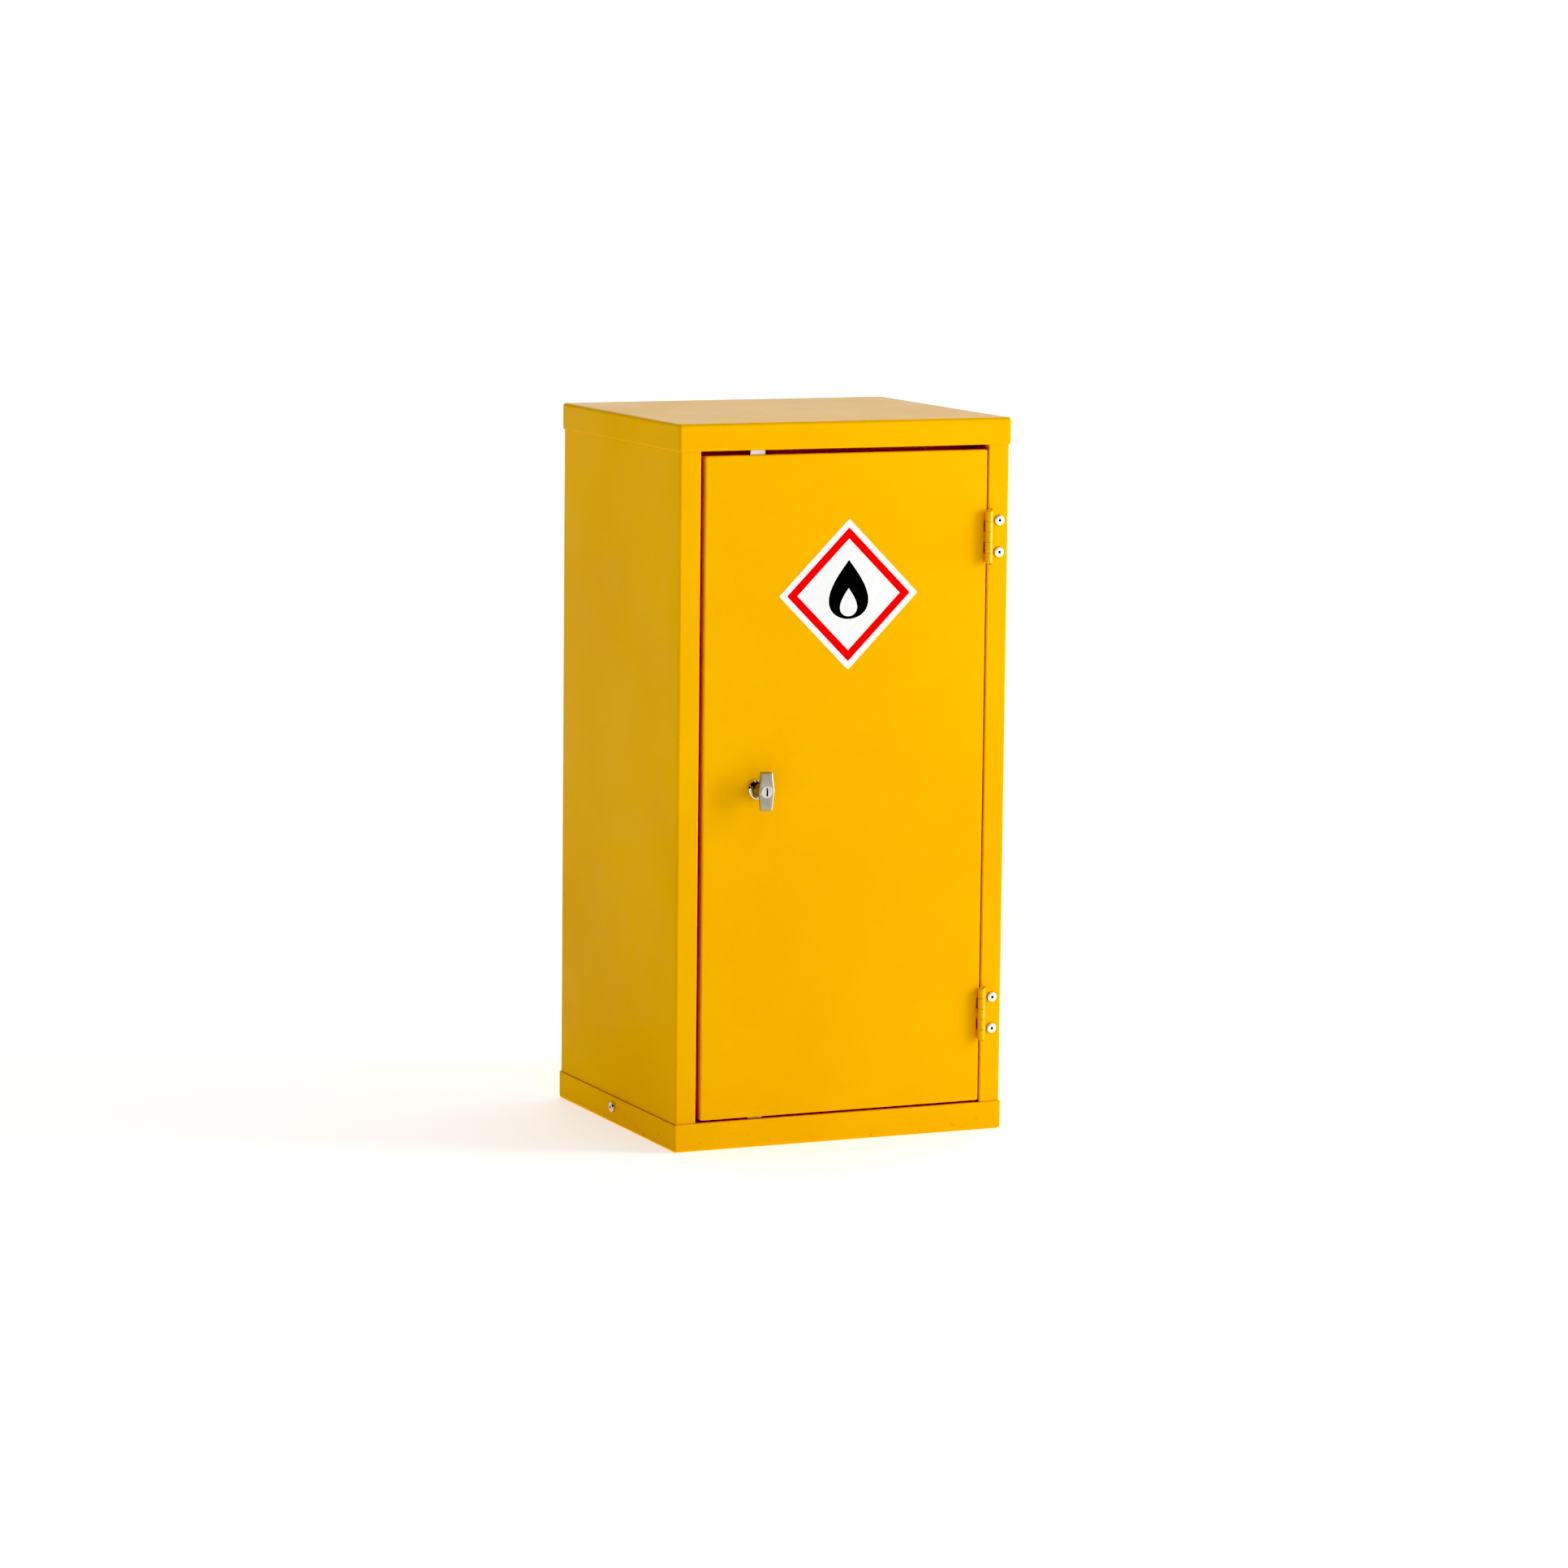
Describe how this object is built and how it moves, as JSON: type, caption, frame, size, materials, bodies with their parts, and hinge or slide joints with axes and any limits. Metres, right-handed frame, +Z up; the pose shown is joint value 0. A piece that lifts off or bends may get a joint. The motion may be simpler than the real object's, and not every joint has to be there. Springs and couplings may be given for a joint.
{
  "type": "flammable storage cabinet",
  "caption": "Small steel safety cabinet with an inset hinged door, T-handle rod lock, adjustable shelf, lift-out sump tray and a diamond label.",
  "frame": {"origin": "centre of the 355 by 305 mm footprint, on the floor", "axes": "+X to the right across the front, +Y from the door towards the back, +Z up"},
  "size_m": [0.3602, 0.3263, 0.712],
  "materials": {
    "yellow_paint": "smooth semi-gloss powder coat",
    "zinc_plate": "zinc plated",
    "bright_zinc": "bright zinc plated",
    "galvanised_sheet": "galvanised, fine spangle",
    "screw_steel": "bright nickel plated",
    "rivet_aluminium": "plain",
    "polished_chrome": "polished",
    "satin_nickel": "satin nickel plated die casting",
    "barrel_nickel": "bright nickel plated brass",
    "black_rubber": "matt",
    "white_nylon": "natural nylon",
    "label_vinyl": "printed vinyl, semi-gloss"
  },
  "bodies": {
    "carcass": {"lid": "yellow_paint", "base_tray": "yellow_paint", "left_side_panel": "yellow_paint", "right_side_panel": "yellow_paint", "back_panel": "yellow_paint", "top_door_stop": "yellow_paint", "base_screws": "screw_steel", "base_nuts": "zinc_plate", "shelf_upright_left_front": "yellow_paint", "shelf_upright_left_rear": "yellow_paint", "shelf_upright_right_front": "yellow_paint", "shelf_upright_right_rear": "yellow_paint", "shelf_clips": "zinc_plate", "hinge_frame_leaf_upper": "yellow_paint", "hinge_frame_leaf_lower": "yellow_paint", "hinge_pin_upper": "zinc_plate", "hinge_pin_lower": "zinc_plate", "hinge_rivets": "rivet_aluminium", "door_buffers": "black_rubber"},
    "door": {"door_skin": "yellow_paint", "door_stiffener": "yellow_paint", "hinge_door_leaf_upper": "yellow_paint", "hinge_door_leaf_lower": "yellow_paint", "lock_rosette": "polished_chrome", "lock_nut": "zinc_plate", "rod_guide_lower": "white_nylon", "rod_guide_upper": "white_nylon", "rod_guide_fixings": "zinc_plate", "label": "label_vinyl"},
    "handle": {"t_handle": "satin_nickel", "handle_spindle": "zinc_plate", "lock_cam": "zinc_plate", "cam_pins": "zinc_plate", "cam_screw": "zinc_plate"},
    "key_barrel": {"lock_barrel": "barrel_nickel"},
    "upper_rod": {"top_rod": "bright_zinc"},
    "lower_rod": {"bottom_rod": "bright_zinc"},
    "loose_shelf": {"shelf": "galvanised_sheet"},
    "loose_tray": {"sump_tray": "yellow_paint"}
  },
  "joints": [
    {"name": "door_hinge", "type": "hinge", "parent": "carcass", "child": "door", "pos_m": [0.1526, -0.1552, 0.356], "axis": [0, 0, 1], "range_deg": [0, 180]},
    {"name": "handle_turn", "type": "hinge", "parent": "door", "child": "handle", "pos_m": [-0.0911, -0.151, 0.3549], "axis": [0, 1, 0], "range_deg": [0, 90]},
    {"name": "key_turn", "type": "hinge", "parent": "handle", "child": "key_barrel", "pos_m": [-0.0911, -0.1735, 0.3549], "axis": [0, 1, 0], "range_deg": [0, 90]},
    {"name": "upper_rod_slide", "type": "slide", "parent": "door", "child": "upper_rod", "axis": [0, 0, 1], "range_m": [0, 0.02]},
    {"name": "lower_rod_slide", "type": "slide", "parent": "door", "child": "lower_rod", "axis": [0, 0, -1], "range_m": [0, 0.02]},
    {"name": "shelf_lift", "type": "slide", "parent": "carcass", "child": "loose_shelf", "axis": [0, 0, 1], "range_m": [0, 0.04]},
    {"name": "tray_lift", "type": "slide", "parent": "carcass", "child": "loose_tray", "axis": [0, 0, 1], "range_m": [0, 0.06]}
  ],
  "couplings": [
    {"joint": "handle_turn", "follows": "upper_rod_slide", "rad_per_m": 78.5},
    {"joint": "lower_rod_slide", "follows": "upper_rod_slide", "ratio": 1}
  ]
}
